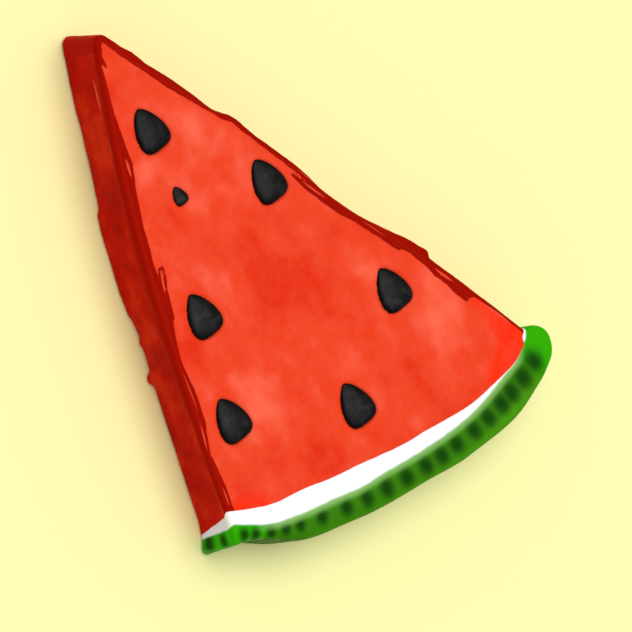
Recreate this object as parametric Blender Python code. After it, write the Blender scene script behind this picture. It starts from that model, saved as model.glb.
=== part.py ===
"""A wedge cut from a round slice of watermelon, lying on one of its two broad cut faces.

Units are metres. Z is up and the wedge lies on Z = 0. Its point looks along +Y and its rind
along -Y. The origin is on the resting face, under the middle of the wedge.
"""

import math

import bmesh
import bpy
from mathutils import Vector

MM = 0.001

# The melon, and where the two side cuts through it met. The rounded tip lies just inside that point.
MELON_RADIUS = 123.2 * MM
MELON_CENTRE_RIGHT_OF_POINT = 21.3 * MM
MELON_CENTRE_BEFORE_POINT = 13.1 * MM
POINT_BEHIND_ORIGIN = 69.2 * MM

# The wedge. A bowed cut swells outwards, and the lean moves its swell towards the tip.
SLICE_THICKNESS = 18.3 * MM
WEDGE_ANGLE = math.radians(42.2)
LEFT_CUT_BOW = 3.6 * MM
LEFT_CUT_LEAN = 0.5
RIGHT_CUT_BOW = 1.5 * MM
RIGHT_CUT_LEAN = 0.0
TIP_ROUNDING = 1.9 * MM
EDGE_ROUNDING = 0.8 * MM

# The rind's end on the right, a round bead that stands out past the flesh.
BEAD_DEPTH = 11.4 * MM
BEAD_FLARE = 3.3 * MM
BEAD_BLEND = 9.0 * MM
BEAD_WIDEST_SHARE = 0.62
BEAD_ROOT_PULL = BEAD_FLARE / 2
BEAD_INNER_PULL = BEAD_DEPTH / 5
BEAD_OUTER_PULL = BEAD_DEPTH / 3
BEAD_END_PULL = BEAD_BLEND / 2

# How finely the outline is drawn, and how close its points may lie.
OUTLINE_STEPS = 14
EDGE_STEPS = 1
WELD_DISTANCE = 0.01 * MM
SHARP_FROM = math.radians(40)

# The seeds: a flat teardrop, and the hollow in the flesh that each one lies in.
SEED_LENGTH = 10.8 * MM
SEED_WIDTH = 8.6 * MM
SEED_THICKNESS = 2.4 * MM
SEED_WIDEST_SHARE = 0.7
SEED_TIP_POWER = 0.6
SEED_END_POWER = 0.257
SEED_GAP = 0.36 * MM
SEED_SINK_FRONT = 0.2 * MM
SEED_SINK_BACK = 0.3 * MM
BACK_HOLLOW_STRETCH = 2.6
SEED_SIDES = 16
SEED_RINGS = 12

# Where the seeds lie: the share of the melon's radius out from the point, the share of the
# half angle to the right of the middle line, and the size against a full seed.
FRONT_SEEDS = [
    (0.220, -0.29, 1.0),
    (0.453, 0.70, 1.0),
    (0.358, -0.38, 0.43),
    (0.580, -0.73, 1.0),
    (0.783, 0.70, 1.0),
    (0.884, 0.00, 1.0),
    (0.785, -0.80, 1.0),
]
BACK_SEEDS = [
    (0.300, 0.25, 1.0),
    (0.470, -0.55, 0.9),
    (0.630, 0.62, 1.0),
    (0.740, -0.30, 1.0),
    (0.880, 0.52, 0.95),
    (0.890, -0.66, 1.0),
]

POINT = Vector((0.0, POINT_BEHIND_ORIGIN))
MELON_CENTRE = POINT + Vector((MELON_CENTRE_RIGHT_OF_POINT, -MELON_CENTRE_BEFORE_POINT))
HALF_ANGLE = WEDGE_ANGLE / 2


def start_empty():
    """Remove whatever the scene holds, and make the two collections."""
    for thing in list(bpy.data.objects):
        bpy.data.objects.remove(thing)
    parts = bpy.data.collections.new("watermelon_wedge")
    cutters = bpy.data.collections.new("cutters")
    for group in (parts, cutters):
        bpy.context.scene.collection.children.link(group)
    return parts, cutters


def material(name, colour, roughness):
    """A plain material for one kind of sub-part."""
    made = bpy.data.materials.new(name)
    made.use_nodes = True
    shader = made.node_tree.nodes["Principled BSDF"]
    shader.inputs["Base Color"].default_value = (*colour, 1.0)
    shader.inputs["Roughness"].default_value = roughness
    shader.inputs["Metallic"].default_value = 0.0
    return made


def from_point(distance, angle):
    """The plan position at a distance from the wedge's point, at an angle off its middle line."""
    return POINT + distance * Vector((math.sin(angle), -math.cos(angle)))


def on_skin(angle):
    """The plan position on the melon's skin, at an angle round the melon's own centre."""
    return MELON_CENTRE + MELON_RADIUS * Vector((math.sin(angle), -math.cos(angle)))


def cut_length(angle):
    """How far a straight cut at this angle runs from the wedge's point to the skin."""
    along = Vector((math.sin(angle), -math.cos(angle)))
    to_centre = MELON_CENTRE - POINT
    ahead = along.dot(to_centre)
    return ahead + math.sqrt(ahead**2 - to_centre.length_squared + MELON_RADIUS**2)


def skin_angle(place):
    """The angle round the melon's centre at which a plan position lies."""
    offset = place - MELON_CENTRE
    return math.atan2(offset.x, -offset.y)


def arc_pull(turn, radius):
    """The handle length with which a cubic curve follows an arc."""
    return 4.0 / 3.0 * math.tan(turn / 4) * radius


def wedge_outline():
    """The outline from above, as points with their handles, round from the wedge's point."""
    left, right = -HALF_ANGLE, HALF_ANGLE
    out_left = Vector((-math.cos(left), math.sin(left)))
    out_right = Vector((math.cos(right), math.sin(right)))
    down_right = Vector((math.sin(right), -math.cos(right)))

    tip_run = TIP_ROUNDING / math.tan(HALF_ANGLE)
    tip_left = from_point(tip_run, left)
    tip_right = from_point(tip_run, right)
    tip_pull = arc_pull(math.pi - WEDGE_ANGLE, TIP_ROUNDING)

    left_corner = from_point(cut_length(left), left)
    right_reach = cut_length(right)
    bead_root = from_point(right_reach - BEAD_DEPTH, right)
    bead_side = from_point(right_reach - BEAD_WIDEST_SHARE * BEAD_DEPTH, right) + BEAD_FLARE * out_right
    skin_left = skin_angle(left_corner)
    skin_right = skin_angle(from_point(right_reach, right)) - BEAD_BLEND / MELON_RADIUS
    bead_end = on_skin(skin_right)

    # A cubic curve swells by three quarters of what both its handles stand out.
    left_third = (left_corner - tip_left) / 3
    right_third = (bead_root - tip_right) / 3
    left_swell = LEFT_CUT_BOW / 0.75 * out_left
    right_swell = RIGHT_CUT_BOW / 0.75 * out_right
    left_near = left_third + (1 + LEFT_CUT_LEAN) * left_swell
    left_far = -left_third + (1 - LEFT_CUT_LEAN) * left_swell
    right_near = right_third + (1 + RIGHT_CUT_LEAN) * right_swell
    right_far = -right_third + (1 - RIGHT_CUT_LEAN) * right_swell

    skin_pull = arc_pull(skin_right - skin_left, MELON_RADIUS)
    along_left = Vector((math.cos(skin_left), math.sin(skin_left)))
    along_right = Vector((math.cos(skin_right), math.sin(skin_right)))
    return [
        (tip_right, tip_right - tip_pull * right_near.normalized(), tip_right + right_near),
        (bead_root, bead_root + right_far, bead_root + BEAD_ROOT_PULL * out_right),
        (bead_side, bead_side - BEAD_INNER_PULL * down_right, bead_side + BEAD_OUTER_PULL * down_right),
        (bead_end, bead_end + BEAD_END_PULL * along_right, bead_end - skin_pull * along_right),
        (left_corner, left_corner + skin_pull * along_left, left_corner + left_far),
        (tip_left, tip_left + left_near, tip_left - tip_pull * left_near.normalized()),
    ]


def wedge(parts, cutters, finish):
    """Flesh, white rind and green skin, grown as one: the outline raised to the slice's thickness."""
    curve = bpy.data.curves.new("wedge_outline", "CURVE")
    curve.dimensions = "2D"
    curve.fill_mode = "BOTH"
    curve.resolution_u = OUTLINE_STEPS
    curve.bevel_depth = EDGE_ROUNDING
    curve.bevel_resolution = EDGE_STEPS
    curve.offset = -EDGE_ROUNDING
    curve.extrude = SLICE_THICKNESS / 2 - EDGE_ROUNDING
    outline = wedge_outline()
    spline = curve.splines.new("BEZIER")
    spline.bezier_points.add(len(outline) - 1)
    spline.use_cyclic_u = True
    for knot, (place, handle_in, handle_out) in zip(spline.bezier_points, outline):
        knot.handle_left_type = "FREE"
        knot.handle_right_type = "FREE"
        knot.co = place.to_3d()
        knot.handle_left = handle_in.to_3d()
        knot.handle_right = handle_out.to_3d()
    drawn = bpy.data.objects.new("wedge_outline", curve)
    parts.objects.link(drawn)

    evaluated = drawn.evaluated_get(bpy.context.evaluated_depsgraph_get())
    mesh = bpy.data.meshes.new_from_object(evaluated)
    mesh.name = "flesh_and_rind"
    bpy.data.objects.remove(drawn)
    closed = bmesh.new()
    closed.from_mesh(mesh)
    bmesh.ops.remove_doubles(closed, verts=closed.verts, dist=WELD_DISTANCE)
    bmesh.ops.translate(closed, verts=closed.verts, vec=(0.0, 0.0, SLICE_THICKNESS / 2))
    bmesh.ops.recalc_face_normals(closed, faces=closed.faces)
    closed.to_mesh(mesh)
    closed.free()
    mesh.shade_smooth()
    mesh.set_sharp_from_angle(angle=SHARP_FROM)
    mesh.materials.clear()
    mesh.materials.append(finish)

    body = bpy.data.objects.new("flesh_and_rind", mesh)
    parts.objects.link(body)
    hollows = body.modifiers.new("seed_hollows", "BOOLEAN")
    hollows.operation = "DIFFERENCE"
    hollows.solver = "EXACT"
    hollows.operand_type = "COLLECTION"
    hollows.collection = cutters
    return body


def teardrop(name, length, width, thickness, stretch_below=1.0):
    """A flat teardrop round its own middle, its tip along +Y, made from a sphere."""
    made = bmesh.new()
    bmesh.ops.create_uvsphere(made, u_segments=SEED_SIDES, v_segments=SEED_RINGS, radius=1.0)
    for corner in made.verts:
        share = (1 - corner.co.z) / 2
        around = Vector((corner.co.x, -corner.co.y))
        if around.length > 0:
            around.normalize()
        taper = max(share, 0.0) / SEED_WIDEST_SHARE
        swell = max(1 - share, 0.0) / (1 - SEED_WIDEST_SHARE)
        girth = taper**SEED_TIP_POWER * swell**SEED_END_POWER
        height = around.y * girth * thickness / 2
        if height < 0:
            height *= stretch_below
        corner.co = Vector((around.x * girth * width / 2, (0.5 - share) * length, height))
    mesh = bpy.data.meshes.new(name)
    made.to_mesh(mesh)
    made.free()
    mesh.shade_smooth()
    return mesh


def seed(name, row, middle_height, hollow_stretch, parts, cutters, finish):
    """One seed, and the cutter for its hollow, a gap larger all round."""
    reach, swing, scale = row
    place = from_point(reach * MELON_RADIUS, swing * HALF_ANGLE).to_3d()
    place.z = middle_height
    length, width, thickness = SEED_LENGTH * scale, SEED_WIDTH * scale, SEED_THICKNESS * scale

    kernel = bpy.data.objects.new(name, teardrop(name, length, width, thickness))
    kernel.location = place
    kernel.data.materials.append(finish)
    parts.objects.link(kernel)

    gap = 2 * SEED_GAP
    shape = teardrop(name + "_hollow", length + gap, width + gap, thickness + gap, hollow_stretch)
    hollow = bpy.data.objects.new(name + "_hollow", shape)
    hollow.location = place
    hollow.hide_render = True
    hollow.display_type = "WIRE"
    cutters.objects.link(hollow)


def build():
    """The whole wedge: its flesh and rind, then the seeds in its upper and lower faces."""
    parts, cutters = start_empty()
    flesh_red = material("flesh_and_rind", (0.87, 0.07, 0.03), 0.45)
    seed_black = material("seed", (0.02, 0.018, 0.017), 0.3)
    wedge(parts, cutters, flesh_red)
    for number, row in enumerate(FRONT_SEEDS, start=1):
        height = SLICE_THICKNESS - SEED_SINK_FRONT
        seed(f"seed_front_{number}", row, height, 1.0, parts, cutters, seed_black)
    for number, row in enumerate(BACK_SEEDS, start=1):
        height = SEED_SINK_BACK + SEED_THICKNESS * row[2] / 2
        seed(f"seed_back_{number}", row, height, BACK_HOLLOW_STRETCH, parts, cutters, seed_black)


build()
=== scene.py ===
import math

import bpy
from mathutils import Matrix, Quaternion, Vector, noise


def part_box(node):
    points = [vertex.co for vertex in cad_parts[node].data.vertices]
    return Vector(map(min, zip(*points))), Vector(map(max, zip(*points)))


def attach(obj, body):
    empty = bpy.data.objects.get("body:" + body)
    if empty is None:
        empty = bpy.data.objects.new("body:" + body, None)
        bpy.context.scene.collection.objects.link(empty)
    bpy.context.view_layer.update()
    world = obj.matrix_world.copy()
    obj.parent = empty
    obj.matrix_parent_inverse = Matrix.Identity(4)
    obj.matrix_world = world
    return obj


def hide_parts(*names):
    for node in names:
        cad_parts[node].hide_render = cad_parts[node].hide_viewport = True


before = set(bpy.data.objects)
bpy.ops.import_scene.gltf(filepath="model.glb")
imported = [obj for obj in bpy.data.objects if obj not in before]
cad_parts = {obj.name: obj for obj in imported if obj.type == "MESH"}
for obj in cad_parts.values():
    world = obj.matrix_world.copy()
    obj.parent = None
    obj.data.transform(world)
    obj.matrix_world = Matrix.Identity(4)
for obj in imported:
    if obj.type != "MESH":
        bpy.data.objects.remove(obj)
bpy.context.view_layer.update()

# ---------------------------------------------------------------- the table
# A wide plain table top in a pale straw yellow, painted matt. The wedge lies flat on it.
TABLE_SIZE = 24.0
TABLE_YELLOW = (0.945, 0.902, 0.425, 1.0)

bpy.ops.object.select_all(action="DESELECT")
bpy.ops.mesh.primitive_plane_add(size=TABLE_SIZE, location=(0.0, 0.0, 0.0))
table = bpy.context.active_object
table.name = "table_top"
table_paint = bpy.data.materials.new("table_paint")
table_paint.use_nodes = True
shader = table_paint.node_tree.nodes["Principled BSDF"]
shader.inputs["Base Color"].default_value = TABLE_YELLOW
shader.inputs["Roughness"].default_value = 0.9
shader.inputs["Specular IOR Level"].default_value = 0.0
table.data.materials.append(table_paint)

# ---------------------------------------------------------------- the light
# A broad soft light stands high over the table, in a pale room that fills in from all sides.
ROOM_COLOUR = (0.97, 0.98, 1.0, 1.0)
ROOM_BRIGHTNESS = 0.46
LIGHT_FROM = Vector((0.10, 0.14, 1.00))
LIGHT_BREADTH = math.radians(50.0)
LIGHT_STRENGTH = 2.10

room = bpy.data.worlds.new("pale_room")
room.use_nodes = True
room.node_tree.nodes["Background"].inputs["Color"].default_value = ROOM_COLOUR
room.node_tree.nodes["Background"].inputs["Strength"].default_value = ROOM_BRIGHTNESS
bpy.context.scene.world = room

bpy.ops.object.light_add(type="SUN", location=LIGHT_FROM)
soft_light = bpy.context.active_object
soft_light.name = "soft_light"
soft_light.data.angle = LIGHT_BREADTH
soft_light.data.energy = LIGHT_STRENGTH
soft_light.rotation_euler = (-LIGHT_FROM).to_track_quat("-Z", "Y").to_euler()
bpy.context.scene.view_settings.view_transform = "Standard"

# ---------------------------------------------------------------- the camera
# A long lens looks steeply down over the wedge's left cut, with its rind towards the lower right.
CAMERA_TURN = math.radians(242.606)
CAMERA_RISE = math.radians(64.0)
CAMERA_ROLL = math.radians(79.992)
CAMERA_AIM = Vector((0.00475, -0.01749, 0.0183))
CAMERA_DISTANCE = 2.060
CAMERA_LENS = 500.0

towards_camera = Vector((
    math.sin(CAMERA_TURN) * math.cos(CAMERA_RISE),
    -math.cos(CAMERA_TURN) * math.cos(CAMERA_RISE),
    math.sin(CAMERA_RISE),
))
bpy.ops.object.camera_add(location=CAMERA_AIM + towards_camera * CAMERA_DISTANCE)
camera = bpy.context.active_object
camera.rotation_mode = "QUATERNION"
turned = (-towards_camera).to_track_quat("-Z", "Y")
camera.rotation_quaternion = turned @ Quaternion((0.0, 0.0, 1.0), CAMERA_ROLL)
camera.data.lens = CAMERA_LENS
camera.data.clip_start = 0.01
camera.data.clip_end = 20.0
bpy.context.scene.camera = camera

# ---------------------------------------------------------------- the wedge
# Flesh, white rind and green skin grew as one. A round slice was cut from a ripe melon, and
# two knife cuts took the wedge out of it, bowed a little and ragged along their upper edges.
MM = 0.001
MELON_RADIUS = 123.2 * MM
SLICE_THICKNESS = 18.3 * MM
HALF_ANGLE = math.radians(21.1)
POINT = Vector((0.0, 69.2 * MM))
MELON_CENTRE = POINT + Vector((21.3 * MM, -13.1 * MM))
TIP_ROUNDING = 1.9 * MM
EDGE_ROUNDING = 0.8 * MM
# At the right end a bead of rind flares out past the cut. Its curve's handles go by its size.
BEAD_DEPTH = 11.4 * MM
BEAD_FLARE = 3.3 * MM
BEAD_BLEND = 9.0 * MM
BEAD_WIDEST_SHARE = 0.62
BEAD_ROOT_PULL = BEAD_FLARE / 2
BEAD_INNER_PULL = BEAD_DEPTH / 5
BEAD_OUTER_PULL = BEAD_DEPTH / 3
BEAD_END_PULL = BEAD_BLEND / 2
# A curve's middle is drawn three quarters of the way out to its two handles.
MIDDLE_SHARE = 0.75
OUTLINE_STEPS = 40
EDGE_STEPS = 2
WELD_DISTANCE = 0.00001
FIRST_NET = 0.55 * MM
FINE_NET = 0.50 * MM
SOFTEN_SHARE = 0.5
SOFTEN_ROUNDS = 4
# Each side cut: which way it lies, how far it bows out, how far the bow leans to the tip.
CUTS = {"left": (-1.0, 3.6 * MM, 0.5), "right": (1.0, 1.5 * MM, 0.0)}


def from_point(distance, angle):
    """The place seen from above at a distance and an angle from where the side cuts met."""
    return POINT + distance * Vector((math.sin(angle), -math.cos(angle)))


def cut_length(angle):
    """How far a straight cut runs from that point to the skin."""
    along = Vector((math.sin(angle), -math.cos(angle)))
    ahead = along.dot(MELON_CENTRE - POINT)
    aside = (MELON_CENTRE - POINT).length_squared - ahead**2
    return ahead + math.sqrt(MELON_RADIUS**2 - aside)


def on_skin(angle):
    """The place on the skin at an angle round the melon's own centre."""
    return MELON_CENTRE + MELON_RADIUS * Vector((math.sin(angle), -math.cos(angle)))


def skin_angle(place):
    """The angle of a place round the melon's own centre."""
    offset = place - MELON_CENTRE
    return math.atan2(offset.x, -offset.y)


tip_run = TIP_ROUNDING / math.tan(HALF_ANGLE)
cut_lines = {}
for name, (way, bow, lean) in CUTS.items():
    angle = way * HALF_ANGLE
    start = from_point(tip_run, angle)
    shorter = BEAD_DEPTH if way > 0 else 0.0
    end = from_point(cut_length(angle) - shorter, angle)
    outwards = way * Vector((math.cos(angle), math.sin(angle)))
    swell = bow / MIDDLE_SHARE * outwards
    near = (end - start) / 3 + (1 + lean) * swell
    far = (start - end) / 3 + (1 - lean) * swell
    cut_lines[name] = (start, end, outwards, near, far)

left_tip, left_corner, left_out, left_near, left_far = cut_lines["left"]
right_tip, bead_root, right_out, right_near, right_far = cut_lines["right"]
down_right = Vector((math.sin(HALF_ANGLE), -math.cos(HALF_ANGLE)))
right_reach = cut_length(HALF_ANGLE)
bead_side = from_point(right_reach - BEAD_WIDEST_SHARE * BEAD_DEPTH, HALF_ANGLE) + BEAD_FLARE * right_out
skin_left = skin_angle(left_corner)
skin_right = skin_angle(from_point(right_reach, HALF_ANGLE)) - BEAD_BLEND / MELON_RADIUS
bead_end = on_skin(skin_right)
tip_pull = 4 / 3 * math.tan((math.pi - 2 * HALF_ANGLE) / 4) * TIP_ROUNDING
skin_pull = 4 / 3 * math.tan((skin_right - skin_left) / 4) * MELON_RADIUS
along_left = Vector((math.cos(skin_left), math.sin(skin_left)))
along_right = Vector((math.cos(skin_right), math.sin(skin_right)))
knots = [
    (right_tip, right_tip - tip_pull * right_near.normalized(), right_tip + right_near),
    (bead_root, bead_root + right_far, bead_root + BEAD_ROOT_PULL * right_out),
    (bead_side, bead_side - BEAD_INNER_PULL * down_right, bead_side + BEAD_OUTER_PULL * down_right),
    (bead_end, bead_end + BEAD_END_PULL * along_right, bead_end - skin_pull * along_right),
    (left_corner, left_corner + skin_pull * along_left, left_corner + left_far),
    (left_tip, left_tip + left_near, left_tip - tip_pull * left_near.normalized()),
]

# The outline is drawn round, and raised to the slice's thickness with its edges just broken.
outline = bpy.data.curves.new("watermelon_wedge", "CURVE")
outline.dimensions = "2D"
outline.fill_mode = "BOTH"
outline.resolution_u = OUTLINE_STEPS
outline.bevel_depth = EDGE_ROUNDING
outline.bevel_resolution = EDGE_STEPS
outline.offset = -EDGE_ROUNDING
outline.extrude = SLICE_THICKNESS / 2 - EDGE_ROUNDING
spline = outline.splines.new("BEZIER")
spline.bezier_points.add(len(knots) - 1)
spline.use_cyclic_u = True
for knot, (place, handle_in, handle_out) in zip(spline.bezier_points, knots):
    knot.handle_left_type = "FREE"
    knot.handle_right_type = "FREE"
    knot.co = place.to_3d()
    knot.handle_left = handle_in.to_3d()
    knot.handle_right = handle_out.to_3d()
wedge = bpy.data.objects.new("watermelon_wedge", outline)
bpy.context.scene.collection.objects.link(wedge)


def work_on(piece):
    """Nothing is selected but this piece, ready for the next tool."""
    bpy.ops.object.select_all(action="DESELECT")
    piece.select_set(True)
    bpy.context.view_layer.objects.active = piece


def even_out(piece, grain):
    """The whole surface gets an even net of small faces."""
    work_on(piece)
    net = piece.modifiers.new("even_net", "REMESH")
    net.mode = "VOXEL"
    net.voxel_size = grain
    bpy.ops.object.modifier_apply(modifier=net.name)


work_on(wedge)
bpy.ops.object.convert(target="MESH")
wedge = bpy.context.active_object
bpy.ops.object.mode_set(mode="EDIT")
bpy.ops.mesh.select_all(action="SELECT")
bpy.ops.mesh.remove_doubles(threshold=WELD_DISTANCE)
bpy.ops.mesh.normals_make_consistent(inside=False)
bpy.ops.transform.translate(value=(0.0, 0.0, SLICE_THICKNESS / 2))
bpy.ops.object.mode_set(mode="OBJECT")
even_out(wedge, FIRST_NET)


def ease(value):
    """A soft step from 0 to 1."""
    value = min(max(value, 0.0), 1.0)
    return value * value * (3 - 2 * value)


def between(stations, where):
    """A value read off stations along an edge, eased from one to the next."""
    if where <= stations[0][0]:
        return stations[0][1]
    for (here, low), (there, high) in zip(stations, stations[1:]):
        if where <= there:
            return low + (high - low) * ease((where - here) / (there - here))
    return stations[-1][1]


def on_cut(name, place):
    """How far along a side cut a place lies from the tip, and how far inside the cut."""
    start, end, outwards = cut_lines[name][:3]
    bow, lean = CUTS[name][1:]
    length = (end - start).length
    along = (place - start).dot(end - start) / length
    share = min(max(along / length, 0.0), 1.0)
    bulge = 4 * bow * ((1 + lean) * (1 - share)**2 * share + (1 - lean) * (1 - share) * share**2)
    return along, bulge - (place - start).dot(outwards)


# The knife wandered: where each cut runs inside its own line, in mm along and mm in. The waver
# goes all the way down the right cut, its lip is only near the top, and the left cut's foot is
# only near the table.
RIGHT_WAVER = [(0, -0.3), (10, -0.3), (18, -0.6), (24, -0.5), (30, -0.1), (44, -0.2), (54, 0.0), (68, 1.5),
               (74, 1.5), (90, -0.2), (112, -0.2), (126, 0.0)]
RIGHT_LIP = [(4, 0.0), (7, -0.4), (8.5, -0.3), (11, 0.0), (31, 0.3), (33, -0.2), (35, -0.8), (37, -0.9),
             (40, -0.4), (44, 0.0), (60, 0.1), (64, 0.2), (72, 0.0), (84, -0.3), (92, -0.9), (94.5, -1.3),
             (96, 0.0)]
LEFT_FOOT = [(10, 0.0), (20, 0.9), (26, 1.1), (35, 0.9), (36.5, 0.7), (37.5, -0.1), (42, -0.2), (50, 0.1),
             (57, 0.1), (62, 0.5), (64, 1.2), (68, 1.7), (69.3, 1.0), (70.6, 1.7), (76, 1.5), (77.4, 0.0),
             (78.8, 0.0), (80, 1.3), (90, 1.1), (100, 0.8), (113, 0.5), (116, 0.2), (119, -0.8)]
# How far into the flesh each of them dies out, and from which share of the height the lip is.
WAVER_REACH = 9 * MM
LIP_REACH = 5 * MM
FOOT_REACH = 6 * MM
LIP_FROM = 0.72
LIP_RISE = 0.2
# The point reaches a little further than the curve, most of all at its foot.
TIP_FROM = 54 * MM
TIP_RUN = 13 * MM
TIP_REACH = 1.1 * MM
TIP_FOOT = 1.8 * MM
TIP_ASIDE = 0.4 * MM
# The skin rolls over into the cut faces, and swells out a little from there.
SKIN_ROLL = 2.0 * MM
SKIN_SWELL = 0.55 * MM
SKIN_REACH = 7 * MM
# By the left cut the skin also spreads at its foot, from this far round it.
END_FOOT = 1.3 * MM
END_FOOT_FROM = 64 * MM
END_FOOT_RUN = 8 * MM
# The skin's own line dips and swells between a few turning points: mm round the skin, mm in.
SKIN_WAVER = [(-75, -1.0), (-66, 1.8), (-51, -0.6), (-38, 0.2), (-18, 0.8), (-4, -0.2), (11, -0.9), (25, 0.6),
              (31, -0.4)]

for corner in wedge.data.vertices:
    place = corner.co.to_2d()
    height = corner.co.z / SLICE_THICKNESS
    along, inside = on_cut("right", place)
    push = between(RIGHT_WAVER, along / MM) * (1 - ease(inside / WAVER_REACH))
    lip = (1 - ease(inside / LIP_REACH)) * ease((height - LIP_FROM) / LIP_RISE)
    push += between(RIGHT_LIP, along / MM) * lip
    place -= push * MM * right_out
    along, inside = on_cut("left", place)
    push = between(LEFT_FOOT, along / MM) * MM * (1 - ease(inside / FOOT_REACH)) * (1 - height)**2
    place -= push * left_out
    near_tip = ease((place.y - TIP_FROM) / TIP_RUN)
    place.x += TIP_ASIDE * (1 - height) * near_tip
    place.y += (TIP_REACH + TIP_FOOT * (1 - height)) * near_tip
    depth = MELON_RADIUS - (place - MELON_CENTRE).length
    turn = skin_angle(place) * MELON_RADIUS
    swell = SKIN_SWELL - between(SKIN_WAVER, turn / MM) * MM
    swell += END_FOOT * (1 - height) * ease((-turn - END_FOOT_FROM) / END_FOOT_RUN)
    place += swell * (1 - ease(depth / SKIN_REACH)) * (place - MELON_CENTRE).normalized()
    corner.co.xy = place
    depth = MELON_RADIUS + swell - (place - MELON_CENTRE).length
    if depth < SKIN_ROLL:
        fall = SKIN_ROLL - math.sqrt(SKIN_ROLL**2 - (SKIN_ROLL - max(depth, 0.0))**2)
        corner.co.z = min(max(corner.co.z, fall), SLICE_THICKNESS - fall)
even_out(wedge, FINE_NET)

work_on(wedge)
soften = wedge.modifiers.new("soften", "SMOOTH")
soften.factor = SOFTEN_SHARE
soften.iterations = SOFTEN_ROUNDS
bpy.ops.object.modifier_apply(modifier=soften.name)

# Each seed lies in a hollow of its own, a gap wider than it all round. A seed is widest at this
# share of its length from its point, tapers by a power to either end, and bends at the point.
SEED_WIDEST_SHARE = 0.7
SEED_TIP_POWER = 0.66
SEED_END_POWER = 0.257
SEED_TIP_BEND = 0.07
SOCKET_GAP = 0.22 * MM
seed_names = sorted(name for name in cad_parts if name.startswith("seed_"))
seed_boxes = {name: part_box(name) for name in seed_names}


def girth(share):
    """A seed's half width at a share of its length from the pointed end, against its widest."""
    taper = max(share, 0.0) / SEED_WIDEST_SHARE
    swell = max(1 - share, 0.0) / (1 - SEED_WIDEST_SHARE)
    return taper**SEED_TIP_POWER * swell**SEED_END_POWER


sockets = []
for name in seed_names:
    low, high = seed_boxes[name]
    middle = (low + high) / 2
    sockets.append((middle, high - low + Vector((2, 2, 2)) * SOCKET_GAP, "front" in name))

for corner in wedge.data.vertices:
    for middle, size, upper in sockets:
        if (corner.co.z > SLICE_THICKNESS / 2) != upper:
            continue
        x, y = corner.co.x - middle.x, corner.co.y - middle.y
        x -= SEED_TIP_BEND * size.x * max(0.5 + y / size.y, 0.0)**2
        if abs(x) > size.x or abs(y) > size.y / 2:
            continue
        half = girth(0.5 - y / size.y) * size.x / 2
        if half <= 0 or abs(x) >= half:
            continue
        drop = girth(0.5 - y / size.y) * size.z / 2 * math.sqrt(1 - (x / half)**2)
        if upper:
            corner.co.z = min(corner.co.z, middle.z - drop)
        else:
            corner.co.z = max(corner.co.z, middle.z + drop)

# Torn strands lie along the upper edges, raised a little. Their dark red is painted shade of the edges. Each
# is a run from one place to the next: mm along the cut, mm in on the upper face or, below 0, mm down the cut,
# and half its breadth in mm.
LEFT_STRANDS = [
    [(-4, 0.2, 1.4), (4, -1.0, 1.5), (14, -0.7, 2.2), (26, 0.2, 2.5), (40, 0.0, 2.8), (52, -0.4, 3.1),
     (64, -0.2, 3.5), (74, -0.6, 2.5), (84, 0.0, 2.5), (90, 0.5, 2.2), (98, -0.5, 1.7),
     (105, -0.2, 1.8), (113, 0.6, 1.7)],
    [(-3, -1.5, 3.6), (-3, -16, 3.6)],
    [(2, 0.4, 0.5), (4.6, 1.6, 0.3)],
    [(6, 0.6, 0.3), (16, 1.4, 0.5), (24, 2.7, 0.5), (28, 3.4, 0.5), (33, 2.9, 0.4), (44, 2.2, 0.5)],
    [(30, 2.2, 0.6), (40, 2.0, 0.7), (47, 1.8, 0.6), (54, 2.3, 0.5)],
    [(59, 3.7, 0.25), (55, 4.5, 0.3), (52.8, 4.6, 0.35), (53.2, 3.7, 0.35), (57, 3.0, 0.4),
     (63, 2.9, 0.5), (68, 2.2, 0.4)],
    [(58, 3.9, 0.3), (65, 3.3, 0.4)],
    [(76, 1.6, 0.4), (84, 2.4, 0.45), (90, 2.2, 0.5), (97, 1.0, 0.4)],
    [(99, 1.0, 0.45), (106, 1.8, 0.4), (112, 1.7, 0.4), (113.5, 0.8, 0.4)],
]
RIGHT_STRANDS = [
    [(-4, -0.9, 1.3), (10, -1.0, 1.3), (34, -1.0, 1.2), (60, -0.8, 1.2), (126, -0.8, 1.1)],
    [(-3, 0.3, 0.8), (4, 0.8, 0.9), (12, 0.9, 1.0), (18, 1.0, 1.1), (24, 0.9, 0.9), (30, 0.9, 0.5)],
    [(30, 0.9, 0.5), (33, 0.7, 0.6), (36, -0.2, 0.7), (40, 0.3, 0.7), (50, 0.6, 0.7), (60, 1.0, 0.6)],
    [(42, 0.8, 0.3), (52, 1.2, 0.5), (58, 1.4, 0.5)],
    [(55.5, 2.8, 0.35), (60, 3.3, 0.75), (64, 3.6, 0.6), (70, 3.6, 0.75), (75, 3.1, 0.5), (88, 2.7, 0.4)],
    [(58, 1.4, 0.6), (64, 2.2, 0.9), (72, 2.5, 0.9), (82, 1.7, 1.0), (87, 1.3, 1.3), (91, 0.7, 1.2),
     (97, 1.3, 1.1), (100, 0.6, 0.8), (106, 1.2, 1.2), (109, 1.2, 1.1), (110.5, 0.6, 0.5)],
    [(96, 1.6, 0.6), (99, 2.3, 0.55), (103, 2.3, 0.55), (106, 2.6, 0.85), (109.5, 3.0, 0.35)],
    [(110, 0.5, 0.6), (118, 0.4, 0.5), (127, 0.4, 0.55)],
]
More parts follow.
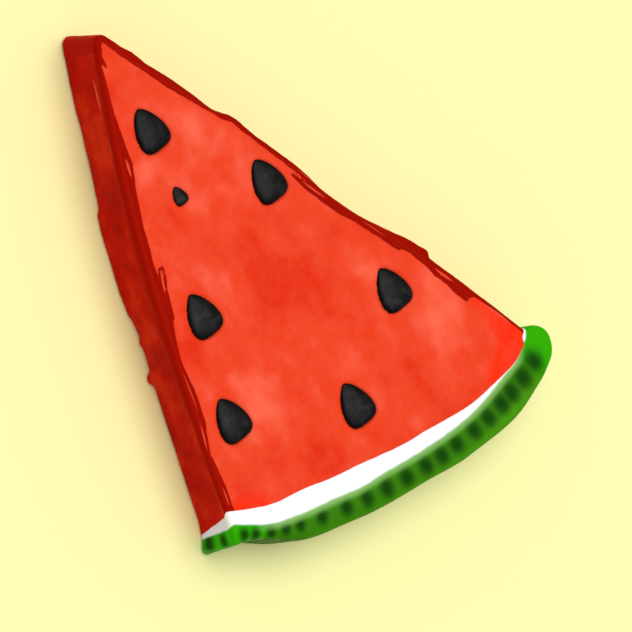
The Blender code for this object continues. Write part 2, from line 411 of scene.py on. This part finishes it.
# Pale slivers of whole flesh show between the strands: mm along and in where one starts, where
# it ends, and how broad its half is.
PALE_SLIVERS = {
    "left": [
        (6, -4.5, 15, -3.3, 0.5), (20, -2.6, 26, -1.4, 0.2), (26, 2.3, 31, 2.8, 0.35),
        (53, 3.9, 59, 3.2, 0.25), (77, 1.3, 88, 1.7, 0.15), (90, 1.3, 97, 0.7, 0.2),
        (106, 1.3, 111, 1.3, 0.2),
    ],
    "right": [
        (58, 2.9, 66, 3.0, 0.25), (76, 2.4, 84, 2.1, 0.12), (56, 1.0, 62, 1.6, 0.12),
        (98, 1.4, 104, 1.4, 0.3), (112, 1.2, 122, 0.9, 0.35),
    ],
}
FAR_FROM_STRANDS = 9.0


def strand_distance(strands, along, across):
    """How far a place is outside the nearest strand, below 0 inside it, all in mm."""
    nearest = FAR_FROM_STRANDS
    for strand in strands:
        for (start, start_in, start_half), (end, end_in, end_half) in zip(strand, strand[1:]):
            run, rise = end - start, end_in - start_in
            share = ((along - start) * run + (across - start_in) * rise) / (run * run + rise * rise)
            share = min(max(share, 0.0), 1.0)
            off = math.hypot(along - start - share * run, across - start_in - share * rise)
            nearest = min(nearest, off - start_half - share * (end_half - start_half))
    return nearest


# Where the red ends and where the white ends, in mm under the skin, by mm round the skin.
FLESH_BORDER = [(-71, 8.3), (-63, 8.5), (-46, 10.9), (-32, 11.6), (-14, 10.9), (8, 8.8), (20, 8.4), (25, 9.1),
                (27, 11.0), (32, 14.0)]
WHITE_BORDER = [(-74, 3.6), (-70, 5.1), (-62, 4.3), (-38, 6.4), (-24, 7.4), (0, 7.2), (20, 8.4), (26, 9.8),
                (32, 13.2)]

# Dark stripes run over the skin from the stalk's end, here by mm round the skin.
STRIPES = [-73, -68, -65, -61, -57, -53, -47, -40, -34, -28, -22, -16, -11, -6, 0, 5, 10, 14, 19, 24]
# These last two are on the skin alone. Each of the others leaves a dark spot where it meets the
# upper cut face, this share of the way through the green.
END_STRIPES = [29, 33.5]
SPOT_DEPTH_SHARE = 0.5
SPOT_DEPTH_EXTRA = 0.1
SPOT_SQUASH = 0.85
SPOT_SIZE = 6.8
# On the left cut two spots lie down the rind's end: mm along the cut, mm down, and how broad.
END_SPOTS = [(118.6, -6.0, 1.15), (118.7, -13.6, 1.5)]
END_SPOTS_FROM = -2
# Down the left cut the red and the white both run closer to the skin.
PINCH_FROM = 48
PINCH_RUN = 14
PINCH_LIP_STEEP = 8
PINCH_LIP_SHARE = 0.2
FLESH_PINCH = 4.9
WHITE_PINCH = 2.3

# The flesh isn't evenly ripe. Soft patches are paler, above 0, or deeper, below 0: mm to the
# right of the origin, mm towards the tip, mm broad, and how strong.
RIPE_PATCHES = [
    (8.7, 33.7, 8, 1.0), (13, 22, 7, 0.4), (17.7, 5.4, 6, 0.8), (-12.8, 4.5, 5, 0.6), (-10, 34, 5, 0.4),
    (27.8, -38.6, 10, 1.0), (33, -30, 7, 0.5), (-14.9, -23, 8, 0.35), (-25.7, -28, 7, 0.3),
    (-1.4, 54, 6, -0.7),
    (2.2, -3.6, 8, -1.0), (4.4, -15.5, 7, -0.6), (-26.4, -4.4, 5, -1.0), (-37, -40, 7, -0.9),
    (-14.8, -43.7, 8, -0.6), (20.6, -53.9, 7, -0.8), (10.2, -41.7, 7, -0.4),
]
# By the rind's right end and in the left corner the red is purest. These are told the same way.
SCARLET_PATCHES = [(41, -40, 3.0, 0.7), (43, -46, 3.2, 1.0), (43.5, -52, 4.0, 1.0), (39, -56, 4.0, 0.9),
                   (33, -57.5, 4.0, 0.6), (-39, -42, 4.0, 0.7), (-34, -45, 4.0, 0.5)]


def patchy(patches, place):
    """How strongly soft patches tell at a place."""
    told = 0.0
    for right, ahead, broad, strong in patches:
        away = ((place.x / MM - right)**2 + (place.y / MM - ahead)**2) / broad**2
        told += strong * math.exp(-away)
    return told


# What the material reads at each point of the mesh, with lengths in mm. Along the left cut the
# count runs backwards from LEFT_FROM, to tell the two cuts apart. Where both cuts are near, the
# strands of both show.
LEFT_FROM = -20.0
BOTH_CUTS_NEAR = 6 * MM
edge_along, edge_across, strand_off, flesh_off, white_off = [], [], [], [], []
ripe, scarlet, skin_in = [], [], []
stripe_off, spot_off, round_skin = [], [], []
for corner in wedge.data.vertices:
    place = corner.co.to_2d()
    reads = []
    for name, strands in (("left", LEFT_STRANDS), ("right", RIGHT_STRANDS)):
        along, inside = on_cut(name, place)
        drop = SLICE_THICKNESS - corner.co.z
        across = inside if drop < EDGE_ROUNDING else -drop
        reads.append((inside, along / MM, across / MM, name, strands))
    inside, along, across, name, strands = min(reads)
    far_inside, far_along, far_across, _, far_strands = max(reads)
    off = strand_distance(strands, along, across)
    if far_inside < BOTH_CUTS_NEAR and far_across > 0:
        off = min(off, strand_distance(far_strands, far_along, far_across))
    edge_along.append(along if name == "right" else LEFT_FROM - along)
    edge_across.append(across)
    strand_off.append(off)
    turn = skin_angle(place) * MELON_RADIUS / MM
    depth = (MELON_RADIUS - (place - MELON_CENTRE).length) / MM
    sink = (SLICE_THICKNESS - corner.co.z) / SLICE_THICKNESS
    ripe.append(patchy(RIPE_PATCHES, place))
    scarlet.append(patchy(SCARLET_PATCHES, place))
    skin_in.append(depth + SKIN_SWELL / MM - between(SKIN_WAVER, turn))
    pinch = ease((-turn - PINCH_FROM) / PINCH_RUN)
    pinch *= (1 - PINCH_LIP_SHARE) * sink + PINCH_LIP_SHARE * ease(sink * PINCH_LIP_STEEP)
    flesh_off.append(depth - between(FLESH_BORDER, turn) + FLESH_PINCH * pinch)
    white_off.append(depth - between(WHITE_BORDER, turn) + WHITE_PINCH * pinch)
    across_stripe = min(abs(turn - stripe) for stripe in STRIPES)
    stripe_off.append(min(abs(turn - stripe) for stripe in STRIPES + END_STRIPES))
    if name == "left" and across < END_SPOTS_FROM:
        spot = min(math.hypot(along - there, across - down) / wide for there, down, wide in END_SPOTS)
    else:
        band = between(WHITE_BORDER, turn)
        from_middle = (depth - SPOT_DEPTH_SHARE * band - SPOT_DEPTH_EXTRA) * SPOT_SQUASH
        spot = math.hypot(across_stripe, from_middle) * SPOT_SIZE / (band + 1)
    spot_off.append(spot)
    round_skin.append(turn)

for name, values in (
    ("edge_along", edge_along), ("edge_across", edge_across), ("strand_off", strand_off),
    ("flesh_off", flesh_off), ("white_off", white_off),
    ("stripe_off", stripe_off), ("spot_off", spot_off), ("round_skin", round_skin),
    ("ripe", ripe), ("scarlet", scarlet), ("skin_in", skin_in),
):
    layer = wedge.data.attributes.new(name, "FLOAT", "POINT")
    layer.data.foreach_set("value", values)

# The cut flesh is grainy and a little uneven, the strands stand up from it, the skin is sleek.
UNEVEN_LIFT = 0.10 * MM
UNEVEN_SIZE = 7 * MM
GRAIN_LIFT = 0.05 * MM
GRAIN_SIZE = 1.6 * MM
STRAND_LIFT = 0.28 * MM
STRAND_SHOULDER = 0.9
SIDE_STRAND_SHARE = 0.4
FLESH_FADE = 1.5
normals = [corner.normal.copy() for corner in wedge.data.vertices]
for corner, normal, off, flesh, across in zip(
    wedge.data.vertices, normals, strand_off, flesh_off, edge_across
):
    lift = UNEVEN_LIFT * noise.noise(corner.co / UNEVEN_SIZE)
    lift += GRAIN_LIFT * noise.noise(corner.co / GRAIN_SIZE)
    lift += STRAND_LIFT * ease(-off / STRAND_SHOULDER) * (1 if across > 0 else SIDE_STRAND_SHARE)
    corner.co += normal * lift * ease(flesh / FLESH_FADE)
    corner.co.z = max(corner.co.z, 0.0)
wedge.data.shade_smooth()

wedge_skin = bpy.data.materials.new("flesh_and_rind")
wedge_skin.use_nodes = True
nodes = wedge_skin.node_tree.nodes
links = wedge_skin.node_tree.links
shader = nodes["Principled BSDF"]


def node(kind, **settings):
    """One node of the material being made, with its settings."""
    made = nodes.new(kind)
    for key, value in settings.items():
        setattr(made, key, value)
    return made


def attribute(name):
    """A value that the mesh holds at each of its points."""
    return node("ShaderNodeAttribute", attribute_name=name).outputs["Fac"]


def joined(socket, value):
    """A link into a socket, or a plain value set on it."""
    if isinstance(value, bpy.types.NodeSocket):
        links.new(value, socket)
    else:
        socket.default_value = value


def sums(operation, first, second=0.0, third=0.0):
    """One sum on values."""
    made = node("ShaderNodeMath", operation=operation)
    joined(made.inputs[0], first)
    joined(made.inputs[1], second)
    joined(made.inputs[2], third)
    return made.outputs[0]


def stepped(value, low, high, out_low=0.0, out_high=1.0):
    """A soft step of a value from one level to another."""
    made = node("ShaderNodeMapRange", interpolation_type="SMOOTHSTEP")
    joined(made.inputs["Value"], value)
    made.inputs["From Min"].default_value = low
    made.inputs["From Max"].default_value = high
    made.inputs["To Min"].default_value = out_low
    made.inputs["To Max"].default_value = out_high
    return made.outputs["Result"]


def mixed(share, first, second):
    """One colour laid over another by a share."""
    made = node("ShaderNodeMix", data_type="RGBA")
    joined(made.inputs[0], share)
    joined(made.inputs[6], first)
    joined(made.inputs[7], second)
    return made.outputs[2]


def cloudy(scale, detail=2.0, roughness=0.5, stretch=(1.0, 1.0, 1.0), turn=0.0):
    """Soft clouds over the piece, their size 1 / scale metres, stretched and turned."""
    place = node("ShaderNodeMapping")
    links.new(coordinates, place.inputs["Vector"])
    place.inputs["Rotation"].default_value = (0.0, 0.0, turn)
    place.inputs["Scale"].default_value = stretch
    made = node("ShaderNodeTexNoise")
    made.inputs["Scale"].default_value = scale
    made.inputs["Detail"].default_value = detail
    made.inputs["Roughness"].default_value = roughness
    links.new(place.outputs["Vector"], made.inputs["Vector"])
    return made.outputs["Fac"]


coordinates = node("ShaderNodeTexCoord").outputs["Object"]

FLESH_RED = (0.81, 0.050, 0.012, 1.0)
FLESH_DEEP = (0.74, 0.024, 0.002, 1.0)
FLESH_LIGHT = (0.93, 0.122, 0.060, 1.0)
FLESH_SCARLET = (0.92, 0.022, 0.0, 1.0)
# The side cuts' reds are darker than the upper face's. That darkness is painted shade.
SIDE_SHADED_RED = (0.50, 0.0040, 0.0, 1.0)
SIDE_SHADED_DEEP = (0.38, 0.0020, 0.0, 1.0)
SIDE_SHADED_LIGHT = (0.62, 0.018, 0.002, 1.0)
# The strands' dark reds are painted shade along the cut edges.
STRAND_SHADE_TOP = (0.325, 0.0040, 0.0, 1.0)
STRAND_SHADE_SIDE = (0.42, 0.0030, 0.0, 1.0)
SLIVER_PINK = (0.78, 0.070, 0.030, 1.0)
RIND_WHITE = (0.93, 0.93, 0.94, 1.0)
RIND_SHADE = (0.74, 0.75, 1.0, 1.0)
RIND_GREEN = (0.060, 0.285, 0.004, 1.0)
RIND_BRIGHT = (0.032, 0.400, 0.001, 1.0)
RIND_DARK = (0.0055, 0.052, 0.0015, 1.0)
RIND_PALE_AND_RIM_HIGHLIGHT = (0.28, 0.52, 0.15, 1.0)

# The upper cut face: deep, middle and pale red in broad clouds that follow the ripe patches.
broad = cloudy(75.0, detail=2.5)
streaky = cloudy(170.0, detail=2.0, stretch=(1.0, 0.45, 1.0), turn=0.5)
grainy = cloudy(1100.0, detail=1.0)
patches = sums("ADD", sums("MULTIPLY", broad, 0.50), sums("MULTIPLY", streaky, 0.38))
patches = sums("ADD", patches, sums("MULTIPLY_ADD", attribute("ripe"), 0.15, 0.06))
flesh = mixed(stepped(patches, 0.30, 0.50), FLESH_DEEP, FLESH_RED)
flesh = mixed(stepped(patches, 0.50, 0.72), flesh, FLESH_LIGHT)
purest = stepped(sums("ADD", attribute("scarlet"), sums("SUBTRACT", broad, 0.5)), 0.15, 0.75)
flesh = mixed(sums("MULTIPLY", purest, 0.85), flesh, FLESH_SCARLET)
flesh = mixed(stepped(grainy, 0.35, 0.75, 0.0, 0.06), flesh, FLESH_LIGHT)

# The side cuts are painted a deeper red. This is painted shade, laid into the colour on top of the shade the
# light gives them.
on_shaded_side = stepped(attribute("edge_across"), -0.7, -2.4)
side_clouds = cloudy(130.0, detail=3.0, roughness=0.6, stretch=(1.0, 1.0, 0.7))
side = mixed(stepped(side_clouds, 0.30, 0.50), SIDE_SHADED_DEEP, SIDE_SHADED_RED)
side = mixed(stepped(side_clouds, 0.48, 0.68), side, SIDE_SHADED_LIGHT)
red = mixed(on_shaded_side, flesh, side)

# The strands' dark red, painted shade of the edges, lies over both, with slivers of whole flesh let through.
wobble = sums("MULTIPLY", sums("SUBTRACT", cloudy(380.0, detail=1.0), 0.5), 0.45)
strand_edge = sums("ADD", attribute("strand_off"), wobble)
strand_shade_share = stepped(strand_edge, 0.12, -0.12)
red = mixed(strand_shade_share, red, mixed(on_shaded_side, STRAND_SHADE_TOP, STRAND_SHADE_SIDE))
sliver_share = None
for name, slivers in PALE_SLIVERS.items():
    for start, from_in, end, to_in, half in slivers:
        if name == "left":
            start, end = LEFT_FROM - start, LEFT_FROM - end
        ahead = node("ShaderNodeMapRange")
        links.new(attribute("edge_along"), ahead.inputs["Value"])
        ahead.inputs["From Min"].default_value = start
        ahead.inputs["From Max"].default_value = end
        ahead = ahead.outputs["Result"]
        middle = sums("ADD", sums("MULTIPLY", ahead, to_in - from_in), from_in)
        off = sums("ABSOLUTE", sums("SUBTRACT", attribute("edge_across"), middle))
        breadth = sums("MULTIPLY", sums("MULTIPLY", ahead, sums("SUBTRACT", 1.0, ahead)), 4.0 * half)
        shown = stepped(sums("SUBTRACT", off, breadth), 0.04, -0.12)
        sliver_share = shown if sliver_share is None else sums("MAXIMUM", sliver_share, shown)
red = mixed(sliver_share, red, SLIVER_PINK)

# The rind: bright green at both ends, spotted along the middle, striped and veined on the skin, paler along
# the skin's rolled rim as painted highlight, and paler where it turns into the white.
skin_depth = attribute("white_off")
right_end = stepped(attribute("round_skin"), 20.0, 26.0)
left_end = stepped(attribute("round_skin"), -58.0, -66.0)
ends = sums("MAXIMUM", right_end, left_end)
green = mixed(ends, RIND_GREEN, RIND_BRIGHT)
band_middle = sums("MULTIPLY", sums("ADD", skin_depth, 3.9), 0.8)
tube = stepped(sums("ABSOLUTE", band_middle), 0.8, 3.0, 1.0, 0.0)
tube = sums("MULTIPLY", tube, sums("SUBTRACT", 1.0, ends))
green = mixed(sums("MULTIPLY", tube, 0.40), green, RIND_DARK)
spot = stepped(sums("ADD", attribute("spot_off"), sums("MULTIPLY", wobble, 1.2)), 2.7, 0.4)
green = mixed(sums("MULTIPLY", spot, 0.97), green, RIND_DARK)
# The skin is laid paler in veins, which is its own pale ground. Along the rolled rim this pale line is also a
# painted highlight.
outer = stepped(attribute("skin_in"), 0.6, -0.1)
veins = cloudy(240.0, detail=4.0, roughness=0.65, stretch=(1.0, 1.0, 0.45))
frayed = sums("ADD", attribute("stripe_off"), sums("MULTIPLY", sums("SUBTRACT", veins, 0.5), 9.0))
green = mixed(sums("MULTIPLY", outer, stepped(veins, 0.3, 0.7, 0.55, 0.1)), green, RIND_PALE_AND_RIM_HIGHLIGHT)
outer_stripe = sums("MULTIPLY", stepped(frayed, 2.6, 0.4), outer)
green = mixed(sums("MULTIPLY", outer_stripe, 0.85), green, RIND_DARK)
pale = sums("MULTIPLY", stepped(skin_depth, -2.1, -0.1, 0.0, 0.85), sums("SUBTRACT", 1.0, ends))
green = mixed(pale, green, RIND_PALE_AND_RIM_HIGHLIGHT)
white_edge = sums("ADD", skin_depth, wobble)
# On the side cuts the white rind is painted in shade too, a cool grey.
white = mixed(on_shaded_side, RIND_WHITE, RIND_SHADE)
rind = mixed(stepped(white_edge, -0.35, 0.35), green, white)
flesh_edge = sums("ADD", attribute("flesh_off"), sums("MULTIPLY", wobble, 0.6))
colour = mixed(stepped(flesh_edge, -0.12, 0.12), rind, red)
links.new(colour, shader.inputs["Base Color"])
shader.inputs["Roughness"].default_value = 0.45
shader.inputs["Specular IOR Level"].default_value = 0.01

# Juice stands on the open flesh of the upper face, not on the strands, the edges or the rind.
off_edge = stepped(attribute("edge_across"), 0.6, 2.0)
clear = sums("MULTIPLY", off_edge, sums("SUBTRACT", 1.0, strand_shade_share))
clear = sums("MULTIPLY", clear, stepped(flesh_edge, -0.5, 0.5, 0.2, 1.0))
moist = sums("MULTIPLY", stepped(cloudy(300.0), 0.3, 0.7, 0.10, 0.35), clear)
links.new(moist, shader.inputs["Coat Weight"])
shader.inputs["Coat Roughness"].default_value = 0.3
shader.inputs["Coat IOR"].default_value = 1.33
bump = node("ShaderNodeBump")
bump.inputs["Strength"].default_value = 0.25
bump.inputs["Distance"].default_value = 0.0002
links.new(grainy, bump.inputs["Height"])
links.new(bump.outputs["Normal"], shader.inputs["Normal"])

wedge.data.materials.clear()
wedge.data.materials.append(wedge_skin)
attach(wedge, "root")
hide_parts("flesh_and_rind")

# ---------------------------------------------------------------- the seeds
# Ripe seeds, flat teardrops with a hard black coat, sunk in the upper cut face with their points
# towards the wedge's tip. Six more lie just inside the resting face. Each is a ball drawn out
# into a teardrop that fills its seed's own box.
SEED_SIDES = 48
SEED_RINGS = 40
COAT_DARK = (0.004, 0.004, 0.004, 1.0)
COAT_GREY_HIGHLIGHT = (0.020, 0.019, 0.019, 1.0)
COAT_RIM_SHADE = (0.0008, 0.0008, 0.0008, 1.0)

seed_coat = bpy.data.materials.new("seed_coat")
seed_coat.use_nodes = True
nodes = seed_coat.node_tree.nodes
links = seed_coat.node_tree.links
shader = nodes["Principled BSDF"]
coordinates = node("ShaderNodeTexCoord").outputs["Object"]
# Grey clouds on the black coat are painted highlight. The darker rim round each seed's edge is painted shade.
coat = mixed(stepped(cloudy(500.0, detail=3.0), 0.4, 0.75), COAT_DARK, COAT_GREY_HIGHLIGHT)
coat = mixed(stepped(attribute("crown"), 0.15, 0.95), COAT_RIM_SHADE, coat)
links.new(coat, shader.inputs["Base Color"])
shader.inputs["Roughness"].default_value = 0.38
shader.inputs["Specular IOR Level"].default_value = 0.10
bump = node("ShaderNodeBump")
bump.inputs["Strength"].default_value = 0.3
bump.inputs["Distance"].default_value = 0.0001
links.new(cloudy(1500.0, detail=2.0), bump.inputs["Height"])
links.new(bump.outputs["Normal"], shader.inputs["Normal"])

for name in seed_names:
    low, high = seed_boxes[name]
    middle, size = (low + high) / 2, high - low
    bpy.ops.object.select_all(action="DESELECT")
    bpy.ops.mesh.primitive_uv_sphere_add(segments=SEED_SIDES, ring_count=SEED_RINGS, radius=1.0)
    seed = bpy.context.active_object
    seed.name = name + "_coat"
    crown = []
    for corner in seed.data.vertices:
        share = (1 - corner.co.z) / 2
        around = Vector((corner.co.x, -corner.co.y))
        if around.length > 0:
            around.normalize()
        wide = girth(share)
        crown.append(abs(around.y) * wide)
        bend = SEED_TIP_BEND * size.x * (1 - share)**2
        corner.co = middle + Vector((
            around.x * wide * size.x / 2 + bend,
            (0.5 - share) * size.y,
            around.y * wide * size.z / 2,
        ))
    layer = seed.data.attributes.new("crown", "FLOAT", "POINT")
    layer.data.foreach_set("value", crown)
    seed.data.shade_smooth()
    seed.data.materials.append(seed_coat)
    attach(seed, "root")
    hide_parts(name)
